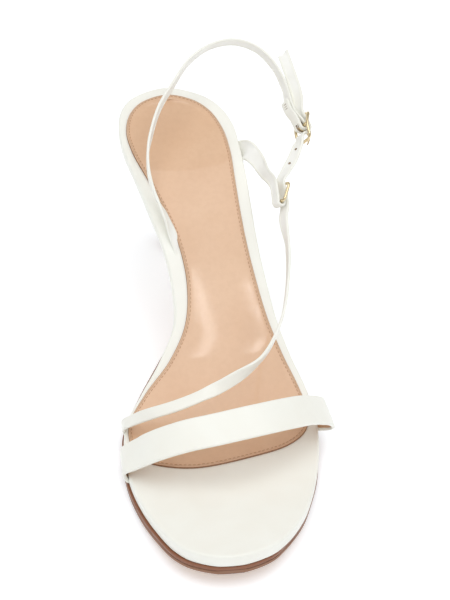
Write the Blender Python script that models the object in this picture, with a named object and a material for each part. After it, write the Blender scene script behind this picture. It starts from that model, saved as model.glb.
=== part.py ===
"""A left slingback sandal: leather sole, wrapped footbed, tan sock, slim covered heel, four straps,
a ring and a buckle.

Metres, +Z up. The toe points along -Y and the foot's lateral side is +X. The origin lies on the floor
under the middle of the sandal's box. Inside the script lengths are millimetres and a place on the
sandal is (station, across, height): station runs forward from the back of the heel, across is positive
to the lateral side, and height is above the floor. world() turns such a place into Blender's axes.
"""
import math
from collections import namedtuple

import bmesh
import bpy
from mathutils import Matrix, Vector

NAME = "slingback_sandal"
MM = 0.001

# Driving dimensions, in millimetres.
LENGTH = 221.0            # footbed, heel back to toe tip, measured along the floor
SEAT_HEIGHT = 75.5        # top of the footbed at the back of the heel
FOOTBED_THICK = 4.8
OUTSOLE_THICK = 3.4
WAIST_SOLE_THICK = 2.4
SOCK_THICK = 1.0
CLEARANCE = 0.3           # between pieces that are glued or sewn together
TREAD_HEIGHT = OUTSOLE_THICK + CLEARANCE + FOOTBED_THICK
TOE_SPRING = 7.0
TREAD_WEAR = 0.5          # how deep the tread is flattened where it stands
SOLE_BEVEL = 0.6

# Where the middle of the sandal's box lies, so that the origin is under it.
MID_STATION = 110.3
MID_ACROSS = 12.3

# The slope of the footbed along its length, as shares of LENGTH.
SEAT_STEEPNESS = 0.17     # slope under the heel, against the steepest slope of the waist
WAIST_BEGINS = 0.12
WAIST_STEEPEST = 0.38
BALL_BEGINS = 0.50
BALL_LEVEL = 0.745
SPRING_POWER = 1.8
PROFILE_STEPS = 442

# The sole's pieces.
BREAST_STATION = 46.0     # front face of the heel
HEEL_INSET = 0.8          # the heel's seat inside the footbed's outline
HEEL_TIP_WIDTH = 11.0
HEEL_TIP_LENGTH = 12.0
HEEL_TIP_BACK = 10.5      # station of the tip's back
HEEL_TIP_MIDDLE = 4.0     # how far to the lateral side the tip stands
HEEL_FLARE = 3.1          # power of the heel's spread from its tip to its seat
TOP_PIECE_HEIGHT = 5.4
TOP_PIECE_INSET = 0.25
HEEL_STEPS = 14
ROW_SPACING = 2.0         # rows nearer than this to the heel's front face are left out
CUP_DEPTH = 1.0           # how hollow the footbed is under the heel
CUP_BEGINS = 12.0
CUP_FADES = (40.0, 70.0)
THICKENING = (98.0, 126.0)      # stations between which the outsole goes from its waist thickness to full
TREAD_BEGINS = (126.0, 146.0)   # stations between which the flattened tread sets in, and fades again
TREAD_FADES = (188.0, 208.0)

# Straps and metal.
TOE_STRAP_WIDTH = 13.0
TOE_STRAP_ENDS = (12.6, 11.6, 10.8)     # its last widths, where it narrows into the lateral seam
TOE_STRAP_THICK = 1.8
STRAP_WIDTH = 5.2
STRAP_THICK = 1.5
SLING_WIDTH = 4.6
SLING_THICK = 1.3
RING_WIRE = 0.75          # radius
RING_HALF_LENGTH = 4.3
RING_HALF_WIDTH = 3.7
FRAME_WIRE = 0.8
BAR_WIRE = 0.65
FRAME_HALF_LENGTH = 6.6
FRAME_HALF_WIDTH = 4.0
FRAME_BOW = 1.6           # how far the frame's ends stand out from its centre bar
PRONG_WIRE = 0.45

# How finely the curves are followed.
OUTLINE_STEPS = 3         # points on a plan outline for each span of its table
STRAP_STEPS = 3           # rings on a strap for each span of its table
CORNER_STEPS = 3          # chords round a corner of the metal
ROD_SIDES = 16
CAP_COLUMNS = (0.2, 0.5, 0.8)   # where a plate's faces have points between their two sides
STRAP_CHAMFER = 0.3       # share of a strap's thickness

Section = namedtuple("Section", "station medial lateral")
Turn = namedtuple("Turn", "station across height edge_forward edge_across edge_up")
Hold = namedtuple("Hold", "along aside out")
Layer = namedtuple("Layer", "inset depth")

FOOTBED_OUTLINE = [
    Section(6, -14.5, 16.5), Section(14, -20.2, 23.5), Section(26, -22.4, 27.8),
    Section(40, -21.4, 28.9), Section(54, -17.8, 29.8), Section(68, -13.4, 30.6),
    Section(82, -8.3, 31.9), Section(96, -5.8, 34.3), Section(108, -6.3, 36.9),
    Section(120, -13.0, 41.0), Section(132, -21.8, 45.8), Section(144, -28.9, 48.4),
    Section(156, -30.8, 47.9), Section(172, -29.9, 44.9), Section(186, -26.8, 40.3),
    Section(199, -22.1, 34.3), Section(210, -16.6, 26.3), Section(216.5, -10.3, 18.6),
]
FOOTBED_ENDS = ((0.0, 0.5), (LENGTH, 3.0))

SOCK_OUTLINE = [
    Section(10, -10.6, 11.8), Section(17.5, -16.6, 18.4), Section(29, -19.3, 22.5),
    Section(42, -17.6, 24.2), Section(56, -12.2, 24.6), Section(68, -6.8, 25.3),
    Section(80, -2.0, 26.7), Section(94, 0.4, 29.4), Section(108, -1.5, 33.0),
    Section(120, -8.8, 37.6), Section(132, -20.0, 42.6), Section(144, -27.6, 45.4),
    Section(153, -28.3, 43.0), Section(160, -26.4, 35.2), Section(165, -21.8, 20.5),
]
SOCK_ENDS = ((6.0, 0.8), (169.4, -5.0))

# The footbed's and the sock's rolled walls, from top rim to bottom rim.
FOOTBED_LAYERS = [
    Layer(1.6, 0.0), Layer(0.5, 0.45), Layer(0.0, 1.6), Layer(0.0, 3.2), Layer(0.5, 4.3),
    Layer(1.4, FOOTBED_THICK),
]
SOCK_TOP = -CLEARANCE - SOCK_THICK
SOCK_LAYERS = [Layer(0.4, SOCK_TOP), Layer(0.0, SOCK_TOP + 0.4), Layer(0.0, -CLEARANCE)]

# How far the outsole stands beyond the footbed on each side.
OUTSOLE_MARGINS = [
    Section(98, -1.8, 0.7), Section(126, 0.7, 0.7), Section(150, 0.7, 0.5), Section(172, 0.7, 0.1),
    Section(190, 0.7, -0.4), Section(208, 0.6, -0.7), Section(LENGTH, 0.0, 0.0),
]

TOE_STRAP = [
    Turn(163.6, -32.0, 4.6, 1, 0, 0), Turn(164.4, -32.4, 8.2, 1, 0, 0),
    Turn(166.2, -31.6, 12.4, 1, 0, -0.1), Turn(168.1, -27.0, 17.4, 1, 0, -0.3),
    Turn(169.9, -22.5, 22.0, 1, 0.05, -0.4), Turn(171.1, -17.0, 25.8, 1, 0.05, -0.45),
    Turn(172.0, -8.0, 29.8, 1, 0.05, -0.5), Turn(172.0, 3.0, 32.2, 1, 0.05, -0.5),
    Turn(170.3, 14.1, 33.0, 1, 0.05, -0.5), Turn(167.3, 24.0, 32.1, 1, 0.1, -0.45),
    Turn(162.6, 33.8, 29.2, 1, 0.1, -0.4), Turn(157.3, 42.6, 24.9, 1, 0.15, -0.35),
    Turn(152.4, 50.6, 18.6, 1, 0.15, -0.3), Turn(149.4, 52.9, 13.6, 1, 0.2, -0.2),
    Turn(145.6, 52.2, 9.4, 1, 0.15, -0.1), Turn(143.4, 50.8, 5.8, 1, 0.1, -0.1),
]
INSTEP_START = [
    Turn(143.0, -30.5, 6.0, 1, 0, 0), Turn(144.4, -30.8, 9.6, 1, 0, 0),
    Turn(147.0, -29.9, 13.0, 1, 0, -0.1), Turn(149.2, -27.0, 17.0, 1, 0, -0.15),
    Turn(152.0, -23.6, 21.6, 1, 0.1, -0.2), Turn(154.8, -18.4, 26.4, 1, 0.15, -0.2),
    Turn(155.4, -10.4, 29.8, 1, 0.2, -0.2), Turn(153.8, -1.3, 32.4, 1, 0.2, -0.15),
    Turn(148.8, 10.6, 34.4, 0.45, 0.36, -0.78), Turn(139.8, 25.4, 38.2, -0.45, 0.1, -0.87),
    Turn(125.0, 35.0, 44.0, -0.5, 0.05, -0.85), Turn(111.0, 39.4, 50.2, -0.5, 0, -0.85),
    Turn(99.0, 40.9, 60.6, -0.5, -0.1, -0.85),
]
HOLED_END = [
    Turn(71.0, 42.9, 77.5, -0.45, -0.7, -0.45), Turn(65.4, 46.7, 79.9, -0.5, -0.78, -0.3),
    Turn(59.8, 49.7, 82.4, -0.45, -0.7, -0.45),
]
FREE_END = [
    Turn(34.4, 53.5, 90.2, 0, -0.82, -0.56), Turn(27.6, 53.2, 91.5, 0, -0.92, -0.38),
    Turn(18.5, 52.2, 93.6, 0, -0.95, -0.3), Turn(9.0, 51.0, 96.0, 0.05, -0.95, -0.3),
]
FREE_END_CUT = -0.9       # how far the free end's tip is cut on a slant, along for each across
REAR_STRAP = [
    Turn(39.6, 31.4, 65.2, 1, 0.1, 0), Turn(40.4, 31.9, 67.8, 1, 0.35, 0),
    Turn(44.8, 33.5, 69.9, 0.93, -0.3, -0.12), Turn(52.2, 34.9, 70.4, 0.5, -0.78, -0.38),
    Turn(61.0, 36.2, 71.2, 0.1, -0.7, -0.7),
]
REAR_STRAP_WIDTHS = (12.0, 11.4, 9.4, 7.4, 5.8, 4.6)    # at each turn, and on round the ring
SLING_START = [
    Turn(84.4, -5.0, 50.0, 0.5, -0.9, 0.1), Turn(79.8, -4.6, 54.0, 0.4, -0.9, 0.3),
    Turn(73.1, -6.7, 59.9, 0.4, -0.6, 0.8), Turn(66.8, -10.0, 65.2, 0.3, -0.2, 1.0),
    Turn(60.3, -12.2, 70.8, 0.3, 0, 1.0), Turn(52.0, -12.2, 76.6, 0.3, 0, 1.0),
    Turn(44.2, -10.2, 80.6, 0.3, -0.15, 1.0), Turn(32.1, -5.6, 85.6, 0.3, -0.15, 1.0),
    Turn(20.1, 1.8, 90.0, 0.35, -0.1, 1.0), Turn(8.5, 9.8, 93.8, 0.4, -0.05, 1.0),
    Turn(1.8, 19.5, 96.6, 0.45, 0.05, 1.0), Turn(0.1, 30.1, 97.6, 0.4, 0, 1.0),
    Turn(4.6, 39.4, 96.6, 0.35, 0.05, 1.0), Turn(14.0, 46.0, 93.6, 0.2, 0.15, 1.0),
    Turn(26.0, 49.2, 90.2, 0.1, 0.3, 1.0),
]

# Where the ring and the buckle lie: centre, the way the strap runs back, and their upper edge.
RING_PLACE = (79.9, 40.3, 73.9, (-0.853, 0.356, 0.382), (0.1, 0.62, 0.78))
BUCKLE_PLACE = (50.0, 52.9, 85.7, (-0.94, 0.08, 0.34), (0.0, 0.5, 0.86))

# Straps at the ring and the buckle, in their own along and out directions.
INSTEP_THROUGH_RING = [
    Hold(-10.0, 0, 4.6), Hold(-4.3, 0, 3.45), Hold(0.0, 0, 1.0), Hold(4.3, 0, -1.8),
]
REAR_ROUND_RING = [
    Hold(2.0, -0.9, -4.3), Hold(-4.3, 0, -1.65), Hold(-5.47, 0, -1.17), Hold(-5.95, 0, 0),
    Hold(-5.47, 0, 1.17), Hold(-4.3, 0, 1.65), Hold(-2.2, 0, 0.5),
]
HOLED_THROUGH_BUCKLE = [
    Hold(-6.6, -0.3, -1.1), Hold(-4.4, -0.25, -0.4), Hold(-2.75, 0, 1.5), Hold(0.0, 0, 3.25),
    Hold(3.4, 0, 1.7), Hold(6.6, 0, -0.4),
]
SLING_ROUND_BUCKLE = [
    Hold(12.0, -2.4, -4.3), Hold(7.0, -1.4, -3.3), Hold(3.6, -0.4, -1.2), Hold(1.06, -0.2, 1.06),
    Hold(0.0, -0.2, 1.5), Hold(-1.06, -0.2, 1.06), Hold(-1.5, -0.2, 0), Hold(-1.1, -0.2, -1.3),
    Hold(0.2, -0.2, -2.0), Hold(3.4, -0.4, -3.5), Hold(7.0, -1.4, -5.3), Hold(12.0, -2.4, -6.3),
]
PRONG = [
    Hold(0.92, 0, -0.92), Hold(0.0, 0, -1.3), Hold(-0.92, 0, -0.92), Hold(-1.3, 0, 0),
    Hold(-1.6, 0, 1.4), Hold(-2.2, 0, 2.9), Hold(-3.4, 0, 3.9), Hold(-5.0, 0, 3.7),
    Hold(-6.8, 0, 3.15), Hold(-8.0, 0, 2.7),
]
PRONG_SLOT = (Hold(-3.2, -0.8, -2.6), Hold(2.2, 0.8, 2.6))     # cut in the sling's fold
PRONG_HOLE = (Hold(-1.6, 0, 0.8), Hold(-2.9, 0, 5.2))          # cut in the holed strap
HOLE_RADIUS = 1.0
RING_CORNER = 1.6
FRAME_CORNER = 2.4

LEATHER = (0.86, 0.85, 0.78, 1)
LINING = (0.72, 0.50, 0.34, 1)
SOLE = (0.30, 0.15, 0.09, 1)
RUBBER = (0.45, 0.30, 0.20, 1)
GOLD = (0.83, 0.66, 0.36, 1)


# ------------------------------------------------------------------ places and curves
def world(station, across, height):
    return Vector((across - MID_ACROSS, MID_STATION - station, height))


def heading(forward, across, up):
    return Vector((across, -forward, up)).normalized()


def smooth(share):
    share = min(max(share, 0.0), 1.0)
    return share * share * (3.0 - 2.0 * share)


def ramp(place, span):
    """A smooth rise from nothing to one between the two ends of a span."""
    return smooth((place - span[0]) / (span[1] - span[0]))


def slope_share(share):
    seat = SEAT_STEEPNESS + (1.0 - SEAT_STEEPNESS) * ramp(share, (WAIST_BEGINS, WAIST_STEEPEST))
    return seat * (1.0 - ramp(share, (BALL_BEGINS, BALL_LEVEL)))


def make_profile():
    """The footbed's height at equal steps from heel back to toe tip."""
    shares = [(step + 0.5) / PROFILE_STEPS for step in range(PROFILE_STEPS)]
    total = sum(slope_share(share) for share in shares)
    heights = [SEAT_HEIGHT]
    for share in shares:
        heights.append(heights[-1] - (SEAT_HEIGHT - TREAD_HEIGHT) * slope_share(share) / total)
    for step in range(PROFILE_STEPS + 1):
        lift = max(step / PROFILE_STEPS - BALL_LEVEL, 0.0) / (1.0 - BALL_LEVEL)
        heights[step] += TOE_SPRING * lift ** SPRING_POWER
    return heights


PROFILE = make_profile()


def deck(station):
    """Height of the footbed's top at a station."""
    place = min(max(station / LENGTH, 0.0), 1.0) * PROFILE_STEPS
    step = min(int(place), PROFILE_STEPS - 1)
    return PROFILE[step] + (PROFILE[step + 1] - PROFILE[step]) * (place - step)


def below_deck(station, depth):
    """The station and height reached by going depth straight down through the footbed."""
    fall = (deck(station - 1.0) - deck(station + 1.0)) / 2.0
    steep = math.hypot(1.0, fall)
    return station - depth * fall / steep, deck(station) - depth / steep


def catmull(points, steps):
    """Points on a smooth open curve through the given ones, steps to each span, both ends included."""
    first = points[0] * 2 - points[1]
    last = points[-1] * 2 - points[-2]
    padded = [first, *points, last]
    curve = []
    for four in zip(padded, padded[1:], padded[2:], padded[3:]):
        knots = [0.0]
        for a, b in zip(four, four[1:]):
            knots.append(knots[-1] + max((b - a).length, 1e-6) ** 0.5)
        for step in range(steps):
            t = knots[1] + (knots[2] - knots[1]) * step / steps
            lines = [four[i].lerp(four[i + 1], (t - knots[i]) / (knots[i + 1] - knots[i]))
                     for i in range(3)]
            bends = [lines[i].lerp(lines[i + 1], (t - knots[i]) / (knots[i + 2] - knots[i]))
                     for i in range(2)]
            curve.append(bends[0].lerp(bends[1], (t - knots[1]) / (knots[2] - knots[1])))
    curve.append(points[-1].copy())
    return curve


# ------------------------------------------------------------------ scene and objects
def clear_scene():
    for thing in list(bpy.data.objects):
        bpy.data.objects.remove(thing, do_unlink=True)


def collection(name):
    group = bpy.data.collections.new(name)
    bpy.context.scene.collection.children.link(group)
    return group


def material(name, colour, roughness, metallic=0.0):
    made = bpy.data.materials.new(name)
    made.use_nodes = True
    shader = made.node_tree.nodes["Principled BSDF"]
    shader.inputs["Base Color"].default_value = colour
    shader.inputs["Roughness"].default_value = roughness
    shader.inputs["Metallic"].default_value = metallic
    return made


def finish_mesh(bm, name, group, look, angle=40.0):
    """Turn a bmesh in millimetres into a named object in metres."""
    bmesh.ops.recalc_face_normals(bm, faces=bm.faces)
    bmesh.ops.scale(bm, vec=(MM, MM, MM), verts=bm.verts)
    mesh = bpy.data.meshes.new(name)
    bm.to_mesh(mesh)
    bm.free()
    mesh.shade_smooth()
    mesh.set_sharp_from_angle(angle=math.radians(angle))
    made = bpy.data.objects.new(name, mesh)
    group.objects.link(made)
    if look:
        mesh.materials.append(look)
    return made


def bridge(bm, ring_a, ring_b):
    count = len(ring_a)
    for i in range(count):
        j = (i + 1) % count
        bm.faces.new((ring_a[i], ring_a[j], ring_b[j], ring_b[i]))


# ------------------------------------------------------------------ plates that follow the last
def outline(sections, ends, steps):
    """The two sides of a plan outline as lists of (station, across), with equal counts.

    ends holds the (station, across) of the heel and toe points, or None where it is cut straight.
    """
    sides = []
    for side in ("medial", "lateral"):
        points = [Vector((row.station, getattr(row, side))) for row in sections]
        if ends[0]:
            points.insert(0, Vector(ends[0]))
        if ends[1]:
            points.append(Vector(ends[1]))
        # A mirrored neighbour past each end point keeps the end round.
        other = "lateral" if side == "medial" else "medial"
        before = after = None
        if ends[0]:
            before = Vector((sections[0].station, getattr(sections[0], other)))
        if ends[1]:
            after = Vector((sections[-1].station, getattr(sections[-1], other)))
        padded = ([before] if before else []) + points + ([after] if after else [])
        curve = catmull(padded, steps)
        begin = steps if before else 0
        end = len(curve) - (steps if after else 0)
        sides.append(curve[begin:end])
    return sides


def inset_loop(sides, inset, ends):
    """The closed loop round both sides, moved inwards by inset (a number or a function)."""
    medial, lateral = sides
    loop = list(medial)
    loop += list(reversed(lateral[1:-1] if ends[1] else lateral[1:]))
    if not ends[0]:
        loop.append(lateral[0])
    count = len(loop)
    amount = inset if callable(inset) else (lambda station, side: inset)
    moved = []
    for i, point in enumerate(loop):
        ahead = loop[(i + 1) % count] - point
        behind = point - loop[i - 1]
        along = ahead.normalized() + behind.normalized()
        inward = Vector((-along.y, along.x)).normalized()
        side = "medial" if i < len(medial) else "lateral"
        moved.append(point + inward * amount(point.x, side))
    return moved


def plate(name, sides, ends, layers, cups, group, look):
    """A closed plate. layers are (inset, depth) from its top rim to its bottom rim.

    Each depth is a number or a function of the station, and cups gives the two faces' hollow.
    """
    bm = bmesh.new()
    rings = []
    plans = []
    for inset, depth in layers:
        plan = inset_loop(sides, inset, ends)
        ring = []
        for point in plan:
            deep = depth(point.x) if callable(depth) else depth
            station, height = below_deck(point.x, deep)
            ring.append(bm.verts.new(world(station, point.y, max(height, 0.0))))
        rings.append(ring)
        plans.append(plan)
    for ring_a, ring_b in zip(rings, rings[1:]):
        bridge(bm, ring_a, ring_b)
    for which, cup in ((0, cups[0]), (-1, cups[1])):
        depth = layers[which][1]
        cap(bm, rings[which], plans[which], len(sides[0]), ends, depth, cup)
    return finish_mesh(bm, name, group, look)


def cap(bm, ring, plan, side_count, ends, depth, cup):
    """Close a plate's face with rungs from its medial side to its lateral side."""
    count = len(ring)
    rungs = []
    for i in range(side_count):
        j = (count - i) % count if ends[0] else count - 1 - i
        rungs.append((i, j))
    grid = []
    for i, j in rungs:
        if i == j:
            grid.append([ring[i]])
            continue
        row = [ring[i]]
        for share in CAP_COLUMNS if i or ends[0] else ():
            spot = plan[i].lerp(plan[j], share)
            deep = depth(spot.x) if callable(depth) else depth
            station, height = below_deck(spot.x, deep)
            hollow = cup(spot.x) * 4.0 * share * (1.0 - share)
            row.append(bm.verts.new(world(station, spot.y, max(height - hollow, 0.0))))
        row.append(ring[j])
        grid.append(row)
    for a, b in zip(grid, grid[1:]):
        if len(a) == 1:
            for k in range(len(b) - 1):
                bm.faces.new((a[0], b[k], b[k + 1]))
        elif len(b) == 1:
            for k in range(len(a) - 1):
                bm.faces.new((a[k], b[0], a[k + 1]))
        elif len(a) == 2:
            bm.faces.new((a[0], *b, a[1]))
        else:
            for k in range(len(a) - 1):
                bm.faces.new((a[k], b[k], b[k + 1], a[k + 1]))


# ------------------------------------------------------------------ straps
def axes(along, edge):
    """Unit length, edge and outward directions of a strap or of a piece of metal."""
    along = along.normalized()
    edge = (edge - along * edge.dot(along)).normalized()
    return along, edge, along.cross(edge)


class Place:
    """A spot on the sandal with its own directions: along, aside and out."""

    def __init__(self, station, across, height, along, edge):
        self.at = world(station, across, height)
        self.along, self.edge, self.out = axes(heading(*along), heading(*edge))

    def point(self, along, aside, out):
        return self.at + self.along * along + self.edge * aside + self.out * out

    def points(self, holds):
        return [self.point(*hold) for hold in holds]


def path_of(turns):
    """World points and edge directions of a list of Turn rows."""
    return ([world(t.station, t.across, t.height) for t in turns],
            [heading(t.edge_forward, t.edge_across, t.edge_up) for t in turns])


def section_ring(centre, edge, out, width, thick, skew=Vector((0, 0, 0))):
    """The rim of a strap's cross-section, flat with rounded corners."""
    chamfer = STRAP_CHAMFER * thick
    half, tall = width / 2.0, thick / 2.0
    corners = [(half, -tall + chamfer), (half, tall - chamfer), (half - chamfer, tall),
               (-half + chamfer, tall), (-half, tall - chamfer), (-half, -tall + chamfer),
               (-half + chamfer, -tall), (half - chamfer, -tall)]
    return [centre + edge * a + out * b + skew * a for a, b in corners]


def ribbon(name, points, edges, widths, thick, group, look, slant=0.0):
    """A strap swept through points, its edge direction and width given at each of them."""
    steps = STRAP_STEPS
    curve = catmull(points, steps)
    spans = len(points) - 1
    bm = bmesh.new()
    rings = []
    for i, centre in enumerate(curve):
        span = min(i // steps, spans - 1)
        share = (i - span * steps) / steps
        ahead = curve[min(i + 1, len(curve) - 1)]
        behind = curve[max(i - 1, 0)]
        edge = edges[span].lerp(edges[span + 1], smooth(share))
        width = widths[span] + (widths[span + 1] - widths[span]) * share
        along, edge, out = axes(ahead - behind, edge)
        skew = along * slant if i == len(curve) - 1 else Vector((0, 0, 0))
        ring = [bm.verts.new(p) for p in section_ring(centre, edge, out, width, thick, skew)]
        rings.append(ring)
    for ring_a, ring_b in zip(rings, rings[1:]):
        bridge(bm, ring_a, ring_b)
    bm.faces.new(rings[0])
    bm.faces.new(rings[-1])
    return finish_mesh(bm, name, group, look)


# ------------------------------------------------------------------ metal
def wire(name, splines, radius, group, look, closed):
    """A round wire through lists of points, as a mesh with welded caps."""
    curve = bpy.data.curves.new(name, "CURVE")
    curve.dimensions = "3D"
    curve.bevel_depth = radius * MM
    curve.bevel_resolution = 2
    curve.use_fill_caps = not closed
    for points in splines:
        spline = curve.splines.new("POLY")
        spline.points.add(len(points) - 1)
        for target, point in zip(spline.points, points):
            target.co = (*(point * MM), 1.0)
        spline.use_cyclic_u = closed
    drawn = bpy.data.objects.new(name, curve)
    group.objects.link(drawn)
    depsgraph = bpy.context.evaluated_depsgraph_get()
    mesh = bpy.data.meshes.new_from_object(drawn.evaluated_get(depsgraph))
    bpy.data.objects.remove(drawn, do_unlink=True)
    bm = bmesh.new()
    bm.from_mesh(mesh)
    bmesh.ops.remove_doubles(bm, verts=bm.verts, dist=1e-6)
    bmesh.ops.recalc_face_normals(bm, faces=bm.faces)
    bm.to_mesh(mesh)
    bm.free()
    mesh.name = name
    mesh.materials.clear()
    mesh.materials.append(look)
    mesh.shade_smooth()
    made = bpy.data.objects.new(name, mesh)
    group.objects.link(made)
    return made


def rounded_rectangle(place, half_length, half_width, corner, bow):
    """Points round a rectangular loop whose two ends stand out by bow."""
    points = []
    for quarter, (sign_a, sign_b) in enumerate(((1, 1), (-1, 1), (-1, -1), (1, -1))):
        for step in range(CORNER_STEPS + 1):
            angle = math.radians(90.0 * (quarter + step / CORNER_STEPS))
            along = sign_a * (half_length - corner) + corner * math.cos(angle)
            aside = sign_b * (half_width - corner) + corner * math.sin(angle)
            points.append(place.point(along, aside, bow * (along / half_length) ** 2))
        if quarter % 2 == 0:
            for share in (0.25, 0.5, 0.75):
                along = sign_a * (half_length - corner) * (1.0 - 2.0 * share)
                points.append(place.point(along, sign_b * half_width,
                                          bow * (along / half_length) ** 2))
    return points


def cut(target, cutter, operation="DIFFERENCE"):
    """Apply a Boolean to the target's mesh and leave the cutter as it is."""
    modifier = target.modifiers.new("cut", "BOOLEAN")
    modifier.operation = operation
    modifier.solver = "EXACT"
    modifier.object = cutter
    depsgraph = bpy.context.evaluated_depsgraph_get()
    mesh = bpy.data.meshes.new_from_object(target.evaluated_get(depsgraph))
    target.modifiers.clear()
    old = target.data
    target.data = mesh
    bpy.data.meshes.remove(old)


def box_cutter(name, place, low, high, group):
    """A box between two corners given in the place's own directions."""
    bm = bmesh.new()
    bmesh.ops.create_cube(bm, size=1.0)
    for vert in bm.verts:
        share = [c + 0.5 for c in vert.co]
        spot = [a + (b - a) * s for a, b, s in zip(low, high, share)]
        vert.co = place.point(*spot)
    made = finish_mesh(bm, name, group, None)
    hide(made)
    return made


def rod_cutter(name, start, end, radius, group):
    """A round rod between two world points."""
    bm = bmesh.new()
    length = (end - start).length
    bmesh.ops.create_cone(bm, cap_ends=True, segments=ROD_SIDES, radius1=radius, radius2=radius, depth=length)
    turn = (end - start).to_track_quat("Z", "Y").to_matrix().to_4x4()
    bmesh.ops.transform(bm, matrix=Matrix.Translation((start + end) / 2.0) @ turn, verts=bm.verts)
    made = finish_mesh(bm, name, group, None)
    hide(made)
    return made


def hide(made):
    made.hide_render = True
    made.display_type = "WIRE"


# ------------------------------------------------------------------ sub-parts
def outsole_margin(station, side):
    """How far the outsole stands in from the footbed's outline (negative is beyond it)."""
    rows = OUTSOLE_MARGINS
    if station <= rows[0].station:
        return -getattr(rows[0], side)
    for before, after in zip(rows, rows[1:]):
        if station < after.station:
            share = ramp(station, (before.station, after.station))
            start, end = getattr(before, side), getattr(after, side)
            return -(start + (end - start) * share)
    return -getattr(rows[-1], side)


def outsole_thickness(station):
    return WAIST_SOLE_THICK + (OUTSOLE_THICK - WAIST_SOLE_THICK) * ramp(station, THICKENING)


def flat(station):
    return 0.0


def footbed_cup(station):
    """The footbed is a little hollow under the heel and level further forward."""
    return CUP_DEPTH * (1.0 - ramp(station, CUP_FADES)) * smooth(station / CUP_BEGINS)


def make_footbed(group):
    sides = outline(FOOTBED_OUTLINE, FOOTBED_ENDS, OUTLINE_STEPS)
    plate("footbed", sides, FOOTBED_ENDS, FOOTBED_LAYERS, (footbed_cup, flat), group,
          material("wrapped_leather", LEATHER, 0.35))


def make_sock(group):
    sides = outline(SOCK_OUTLINE, SOCK_ENDS, OUTLINE_STEPS)
    plate("sock", sides, SOCK_ENDS, SOCK_LAYERS, (footbed_cup, footbed_cup), group,
          material("tan_lining", LINING, 0.4))


def make_outsole(group):
    begin = BREAST_STATION + CLEARANCE
    rows = [section_at(begin)] + [row for row in FOOTBED_OUTLINE if row.station > begin + ROW_SPACING]
    ends = (None, FOOTBED_ENDS[1])
    top = FOOTBED_THICK + CLEARANCE

    def lower_margin(station, side):
        return outsole_margin(station, side) + SOLE_BEVEL

    def edge(station):
        return top + outsole_thickness(station) - SOLE_BEVEL

    def underside(station):
        """Depth of the sole's underside, flattened where the forepart stands."""
        return top + outsole_thickness(station) + TREAD_WEAR * tread_share(station)

    layers = [(outsole_margin, top), (outsole_margin, edge), (lower_margin, underside)]
    plate("outsole", outline(rows, ends, OUTLINE_STEPS), ends, layers, (flat, flat), group,
          material("sole_leather", SOLE, 0.45))


def tread_share(station):
    """One over the tread, falling to nothing at the waist and the toe."""
    return ramp(station, TREAD_BEGINS) * (1.0 - ramp(station, TREAD_FADES))


def make_heel(group):
    """A slim heel: a D-shaped seat that draws in to a small tip."""
    rows = [row for row in FOOTBED_OUTLINE if row.station < BREAST_STATION - ROW_SPACING]
    rows.append(section_at(BREAST_STATION - CLEARANCE))
    ends = (FOOTBED_ENDS[0], None)
    seat = inset_loop(outline(rows, ends, OUTLINE_STEPS), HEEL_INSET, ends)
    lows = [min(point[i] for point in seat) for i in (0, 1)]
    highs = [max(point[i] for point in seat) for i in (0, 1)]
    sizes = [high - low for low, high in zip(lows, highs)]
    middle = (lows[1] + highs[1]) / 2.0
    tip = [Vector((HEEL_TIP_BACK + (point.x - lows[0]) / sizes[0] * HEEL_TIP_LENGTH,
                   HEEL_TIP_MIDDLE + (point.y - middle) / sizes[1] * HEEL_TIP_WIDTH)) for point in seat]
    foot = TOP_PIECE_HEIGHT + CLEARANCE
    bm = bmesh.new()
    rings = []
    for level in range(HEEL_STEPS + 1):
        share = level / HEEL_STEPS
        spread = share ** HEEL_FLARE
        forward = 1.0 - smooth(1.0 - share)
        ring = []
        for low, high in zip(tip, seat):
            station, height = below_deck(high.x, FOOTBED_THICK + CLEARANCE)
            length = (low.x - HEEL_TIP_BACK) * (1.0 - spread) + (high.x - lows[0]) * spread
            back = HEEL_TIP_BACK + (lows[0] - HEEL_TIP_BACK) * forward
            across = low.y + (high.y - low.y) * spread
            drift = (station - high.x) * spread
            ring.append(bm.verts.new(world(back + length + drift, across, foot + (height - foot) * share)))
        rings.append(ring)
    for ring_a, ring_b in zip(rings, rings[1:]):
        bridge(bm, ring_a, ring_b)
    ladder(bm, rings[0])
    ladder(bm, rings[-1])
    finish_mesh(bm, "heel", group, material("covered_heel", LEATHER, 0.35))
    make_heel_tip(group, tip)


def ladder(bm, ring):
    """Close a loop with rungs across it; it starts in the middle of its round end, where a triangle goes."""
    count = len(ring)
    left = ring[:(count + 1) // 2]
    right = [ring[(count - i) % count] for i in range(len(left))]
    bm.faces.new((left[0], left[1], right[1]))
    for a, b, c, d in zip(left[1:], left[2:], right[2:], right[1:]):
        bm.faces.new((a, b, c, d))


def make_heel_tip(group, tip):
    """The top piece, the thin block under the heel that meets the floor."""
    middle = sum(tip, Vector((0.0, 0.0))) / len(tip)
    bm = bmesh.new()
    rings = []
    for height in (0.0, TOP_PIECE_HEIGHT):
        ring = []
        for point in tip:
            spot = point + (middle - point).normalized() * TOP_PIECE_INSET
            ring.append(bm.verts.new(world(spot.x, spot.y, height)))
        rings.append(ring)
    bridge(bm, *rings)
    for ring in rings:
        ladder(bm, ring)
    finish_mesh(bm, "heel_tip", group, material("top_piece", RUBBER, 0.6))


def section_at(station):
    """The footbed's outline at a station between two rows of its table."""
    before = [row for row in FOOTBED_OUTLINE if row.station <= station][-1]
    after = [row for row in FOOTBED_OUTLINE if row.station > station][0]
    share = (station - before.station) / (after.station - before.station)
    return Section(station, before.medial + (after.medial - before.medial) * share,
                   before.lateral + (after.lateral - before.lateral) * share)


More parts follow.
